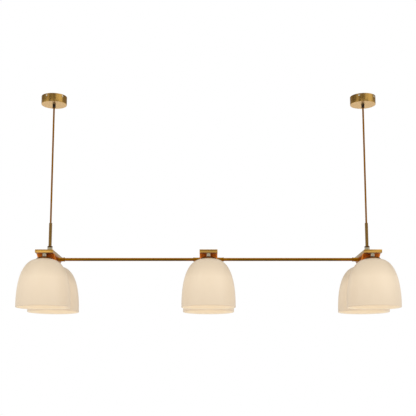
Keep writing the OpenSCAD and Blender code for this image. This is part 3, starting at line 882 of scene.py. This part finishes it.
def make_sockets():
    """The turned sockets that hold the rods, each with a lip at its open end."""
    node = "rod_sockets"
    low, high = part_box(node)
    level = (low.z + high.z) / 2
    radius = depth_of(node)
    length = 25 * mm
    spigot_length = 7 * mm
    bore = 3.5 * mm
    rod_bore = 6 * mm + fit
    rod_seat = length - 15 * mm
    slim = radius - 0.8 * mm
    lip = length - 3.2 * mm
    roll = 0.5 * mm
    outline = [
        (bore, -spigot_length), (thread_radius, -spigot_length), (thread_radius, 0),
        (radius - 0.3 * mm, 0), (radius, 0.3 * mm), (radius, 1.4 * mm), (slim, 2.2 * mm),
        (slim, lip - 0.8 * mm), (radius, lip),
        *arc((radius - roll, length - roll), roll, 0, 90, 4),
        (rod_bore, length), (rod_bore, rod_seat), (bore, rod_seat)]
    housing_low, housing_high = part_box("housing_left")
    half_width = (housing_high.x - housing_low.x) / 2
    for bracket, bracket_sign in BRACKETS.items():
        for side, sign in SIDES.items():
            faces_a_rod = bracket_sign * sign <= 0
            if faces_a_rod:
                start = Vector((bracket_x[bracket] + sign * half_width, 0, level))
                piece(
                    f"rod_socket_{bracket}_{side}", lathe(outline, 72), "fixture",
                    [rod_brass], [node], start,
                    Matrix.Rotation(sign * turn / 4, 4, "Y"))


def make_neck(lamp, x, y):
    """The bright neck under the bracket."""
    node = "neck_sleeves"
    low, high = levels_of(node)
    radius = lamp_radius_of(node)
    bore = thread_radius + fit
    outline = [
        (bore, low), (radius - 0.3 * mm, low), (radius, low + 0.4 * mm),
        (radius, high - 0.4 * mm), (radius - 0.3 * mm, high), (bore, high)]
    piece(
        f"bright_neck_{lamp}", lathe(outline, 64), "fixture", [bright_metal],
        [node], (x, y, 0), crease=30)


def make_cap(lamp, x, y):
    """The dark cap on the shade's crown: a shallow pressed dome."""
    node = "shade_caps"
    low, high = levels_of(node)
    radius = lamp_radius_of(node)
    height = high - low
    thickness = 1.2 * mm
    bore = thread_radius + fit
    flat = bore + 1 * mm
    steps = 18

    def dome(inset):
        angles = [turn / 4 * i / steps for i in range(steps + 1)]
        points = [
            ((radius - inset) * math.cos(a), low + (height - inset) * math.sin(a))
            for a in angles]
        return [(r, level) for r, level in points if r > flat] + [(bore, high - inset)]

    piece(
        f"dark_cap_{lamp}", lathe(dome(0) + dome(thickness)[::-1], 96), "fixture",
        [cap_brass], [node], (x, y, 0), crease=50)


def bell(radius, top, height):
    """Radius of the bell's wall at a height above its rim, for a wall that closes at top."""
    return radius * (1 - (height / top) ** bell_uprightness) ** (1 / bell_roundness)


def make_shade(lamp, x, y):
    """An opal glass bell: superellipse wall, fire-rounded rim and a flat crown with a hole."""
    node = f"shade_{lamp}"
    low, crown = levels_of(node)
    radius = depth_of(node)
    hole = 21 * mm
    flat = 28 * mm
    soft = 0.6 * mm
    steps = 64
    rim_middle = low + glass / 2 - crown
    rise = -rim_middle
    top = rise / (1 - (flat / radius) ** bell_roundness) ** (1 / bell_uprightness)

    def wall(inset):
        heights = [
            (rise - inset) * math.sin(turn / 4 * i / steps) for i in range(1, steps + 1)]
        return [
            (bell(radius - inset, top - inset, height), rim_middle + height)
            for height in heights]

    rim = arc((radius - glass / 2, rim_middle), glass / 2, 180, 360, 12)
    hole_edge = [(hole + soft, 0), (hole, -soft), (hole, soft - glass), (hole + soft, -glass)]
    outside_from = 3
    inside_from = len(rim) + steps + 2
    outline = rim + wall(0) + hole_edge + wall(glass)[::-1]
    shape = lathe(
        outline, 144, finish_of=lambda number: 0 if outside_from <= number < inside_from else 1)
    piece(
        f"opal_shade_{lamp}", shape, "fixture", [glass_outside, glass_inside],
        [node], (x, y, crown), crease=60)


def make_holder(lamp, x, y):
    """A white lampholder, threaded outside for the ring that clamps the glass."""
    node = f"lampholder_{lamp}"
    low, high = levels_of(node)
    flange = depth_of(node)
    flange_low = levels_of("crown_washers")[1]
    flange_high = flange_low + 2 * mm
    hub = 9 * mm
    nipple = thread_radius + fit
    nipple_seat = flange_low - 7 * mm
    contact_hole = 3 * mm
    bore = 14.55 * mm
    bore_top = levels_of(f"bulb_{lamp}")[1] + 4 * mm
    soft = 0.4 * mm
    count = 72
    foot = [(bore, low), (holder_radius - 0.5 * mm, low), (holder_radius, low + 0.5 * mm)]
    threaded = thread(
        holder_radius, low + 3 * mm, flange_low - 1 * mm, pitch=2.4 * mm, depth=0.5 * mm,
        per_turn=8, count=count, profile=lambda phase: max(0, math.cos(phase)))
    top = [
        (holder_radius, flange_low), (flange - soft, flange_low), (flange, flange_low + soft),
        (flange, flange_high - soft), (flange - soft, flange_high),
        (hub + 0.8 * mm, flange_high), (hub, flange_high + 0.8 * mm), (hub, high - 0.5 * mm),
        (hub - 0.5 * mm, high), (nipple, high), (nipple, nipple_seat),
        (contact_hole, nipple_seat), (contact_hole, bore_top), (bore, bore_top)]
    rings = rings_of(foot, count) + threaded + rings_of(top, count)
    piece(
        f"white_holder_{lamp}", skin(rings, loop=True), "fixture",
        [white_plastic], [node], (x, y, 0))


def make_clamp_ring(lamp, x, y):
    """The knurled ring that clamps the glass to the lampholder."""
    node = "shade_rings"
    low, high = levels_of(node)
    outer = lamp_radius_of(node)
    inner = holder_radius + fit
    ribs = 30
    rib_depth = 0.6 * mm
    count = ribs * 6

    def knurled(radius, level, share):
        return shaped_ring(
            lambda angle: radius - rib_depth * share * wave(ribs * angle), level, count)

    rings = [
        ring(inner, low, count), ring(outer - 1.4 * mm, low, count),
        knurled(outer - 0.3 * mm, low + 0.5 * mm, 0.4), knurled(outer, low + 1 * mm, 1),
        knurled(outer, high - 1 * mm, 1), ring(outer, high - 0.8 * mm, count),
        ring(outer, high, count), ring(inner, high, count)]
    piece(
        f"clamp_ring_{lamp}", skin(rings, loop=True), "fixture",
        [white_plastic], [node], (x, y, 0))


def make_bulb(lamp, x, y):
    """A screw-in globe bulb: white globe, smooth neck and a threaded metal cap."""
    node = f"bulb_{lamp}"
    low, high = levels_of(node)
    globe_radius = depth_of(node)
    globe = arc((0, low + globe_radius), globe_radius, -88, 44, 44)
    globe_end, globe_end_level = globe[-1]
    cap = 13.2 * mm
    cap_low = high - 26 * mm
    neck_end = cap + 0.4 * mm
    neck_end_level = cap_low - 1.6 * mm
    waist = 9 * mm
    neck_steps = 14
    neck = []
    for k in range(1, neck_steps + 1):
        share = k / neck_steps
        ease = share * share * (3 - 2 * share)
        pull = waist * (1 - share) ** 2 * share
        neck.append((
            globe_end + (neck_end - globe_end) * ease - pull,
            globe_end_level + (neck_end_level - globe_end_level) * share))
    count = 72
    glass_rings = rings_of(globe + neck, count)
    metal_rings = rings_of([(cap - 0.3 * mm, cap_low - 1.2 * mm), (cap, cap_low)], count)
    metal_rings += thread(
        cap, cap_low + 1 * mm, high - 6 * mm, pitch=3.6 * mm, depth=0.7 * mm, per_turn=12,
        count=count)
    insulator = 6.5 * mm
    contact = 5 * mm
    foot = [
        (cap - 0.6 * mm, high - 5 * mm), (cap - 3 * mm, high - 3.6 * mm),
        (insulator, high - 1.6 * mm), (contact, high - 1.2 * mm), (contact, high - 0.4 * mm),
        (contact - 0.8 * mm, high)]
    metal_from = len(glass_rings)
    insulator_from = metal_from + len(metal_rings)
    contact_from = insulator_from + 3

    def finish_of(number):
        if number < metal_from:
            return 0
        return 2 if insulator_from <= number < contact_from else 1

    shape = skin(glass_rings + metal_rings + rings_of(foot, count), finish_of=finish_of)
    piece(
        f"globe_bulb_{lamp}", shape, f"bulb_{lamp}",
        [bulb_glass, bright_metal, black_plastic], [node], (x, y, 0), crease=40)


def dress_hidden_nodes():
    """Materials of the CAD nodes that keep their own meshes."""
    dressing = {
        steel: [
            "ceiling_plate_left", "ceiling_plate_right", "grip_nuts", "collar_nuts",
            "socket_nuts", "nipples", "nipple_nuts"],
        terminal_plastic: ["terminal_block"],
        cord_weave: ["cord_tails", "stem_cords"],
        rubber: ["bend_bushes", "crown_washers"],
        ring_brass: ["cord_ferrules", "tray_bases"],
        lead_sheath: ["lamp_leads"],
        contact_brass: ["screw_shells", "centre_contacts"],
    }
    for finish, nodes in dressing.items():
        for node in nodes:
            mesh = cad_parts[node].data
            mesh.materials.clear()
            mesh.materials.append(finish)


# Studio

def background_rays(tree):
    """1 where the background is seen or mirrored, 0 where it lights the pieces."""
    seen = sum(
        tree.node("LightPath", output=name)
        for name in ("Is Camera Ray", "Is Glossy Ray", "Is Transmission Ray"))
    return seen.clamped()


def light_world():
    """White where it is seen or mirrored, and a softer level where it lights the pieces."""
    world = bpy.data.worlds.new("studio")
    bpy.context.scene.world = world
    tree = Tree(world)
    strength = background_rays(tree) * (1 - ambient_level) + ambient_level
    background = tree.node("Background", inputs={"Color": grey(1), "Strength": strength})
    tree.node("OutputWorld", inputs={"Surface": background})


def soft_light(name, place, watts):
    """A wide lamp that is aimed at the light's middle and isn't mirrored."""
    aim = Vector((0, 0, -0.6))
    data = bpy.data.lights.new(name, "AREA")
    data.shape = "RECTANGLE"
    data.size = 2.0
    data.size_y = 1.6
    data.energy = watts
    light = bpy.data.objects.new(name, data)
    bpy.context.scene.collection.objects.link(light)
    light.visible_glossy = False
    light.location = place
    light.rotation_euler = (aim - Vector(place)).to_track_quat("-Z", "Y").to_euler()


def stage_sheet(name, corners, finish):
    """A flat sheet that belongs to the studio."""
    mesh = bpy.data.meshes.new(name)
    mesh.from_pydata(corners, [], [list(range(len(corners)))])
    mesh.materials.append(finish)
    made = bpy.data.objects.new(name, mesh)
    bpy.context.scene.collection.objects.link(made)
    return made


def level_corners(left, right, front, rear, level):
    """Corners of a rectangle at one level."""
    return [(left, front, level), (right, front, level), (right, rear, level), (left, rear, level)]


def lay_floor():
    """A plain pale floor, a tall room's height below the ceiling, that keeps the shadows."""
    finish = Finish("pale_floor")
    cloud = finish.noise(finish.local(), 0.4, detail=2.0)
    material = finish.paint(
        base_color=finish.mix(cloud, shown(244, 243, 240), shown(248, 247, 245)),
        roughness=0.9,
        emission_color=finish.mix(background_rays(finish), grey(0), grey(floor_lift)),
        emission_strength=1.0)
    reach = 40
    stage_sheet("floor", level_corners(-reach, reach, -reach, reach, -3.0), material)


def reflector(name, corners, finish):
    """A card that only polished metal and glass mirror."""
    card = stage_sheet(name, corners, finish)
    card.visible_camera = False
    card.visible_diffuse = False
    card.visible_shadow = False
    card.visible_transmission = False


def raise_reflectors():
    """Cards all round the light, from dark to white, with warmer darks in their upper part."""
    distance = 6
    foot = -1.9
    split = 1.45
    blend = 1 / 3
    top = 3.6
    cards = 48
    finish = Finish("reflector_tones")
    place = finish.local()
    x, y, z = (finish.along(place, axis) for axis in "XYZ")
    bearing = x.bearing(y * -1.0) * (1 / turn) + 0.5
    low = finish.ramp(
        bearing, *[((degrees + 180) / 360, grey(tone)) for degrees, tone in low_tones])
    high = finish.ramp(
        bearing, *[
            ((degrees + 180) / 360, (tone, tone ** 1.1, tone ** 1.2, 1))
            for degrees, tone in high_tones])
    upper = ((z - split) * (1 / blend)).clamped()
    material = finish.paint(
        base_color=grey(0),
        roughness=1.0,
        emission_color=finish.mix(upper, low, high),
        emission_strength=1.0)
    circle = [(x, y) for x, y, level in ring(distance, 0, cards)]
    for i, (x0, y0) in enumerate(circle):
        x1, y1 = circle[(i + 1) % cards]
        corners = [(x0, y0, foot), (x1, y1, foot), (x1, y1, top), (x0, y0, top)]
        reflector(f"reflector_{i + 1}", corners, material)


def lay_dark_mat():
    """A dark mat under the light, which the undersides of rods and brackets mirror."""
    finish = Finish("dark_mat")
    cloud = finish.noise(finish.local(), 0.5)
    dark = (0.05, 0.04, 0.03, 1)
    less_dark = (0.08, 0.07, 0.06, 1)
    material = finish.paint(
        base_color=finish.ramp(cloud, (0.3, dark), (0.7, less_dark)), roughness=1.0)
    corners = level_corners(left=-3, right=3, front=-4, rear=0.6, level=-2.3)
    reflector("dark_mat", corners, material)


set_camera()
for side in SIDES:
    make_cord(side)
for side in SIDES:
    make_canopy(side)
    make_grip(side)
    make_stem(side)
    make_collar(side)
    make_collar_ring(side)
    make_rod(side)
make_side_screws()
for bracket in BRACKETS:
    make_cover(bracket)
    make_housing(bracket)
make_bracket_screws()
make_sockets()
for lamp, (x, y) in lamps.items():
    make_neck(lamp, x, y)
    make_cap(lamp, x, y)
    make_shade(lamp, x, y)
    make_holder(lamp, x, y)
    make_clamp_ring(lamp, x, y)
    make_bulb(lamp, x, y)
dress_hidden_nodes()

bpy.context.scene.view_settings.view_transform = "Standard"
light_world()
lay_floor()
raise_reflectors()
lay_dark_mat()
soft_light("key", (-2.2, -2.6, 1.2), 26)
soft_light("fill", (2.6, -2.2, 0.4), 20)
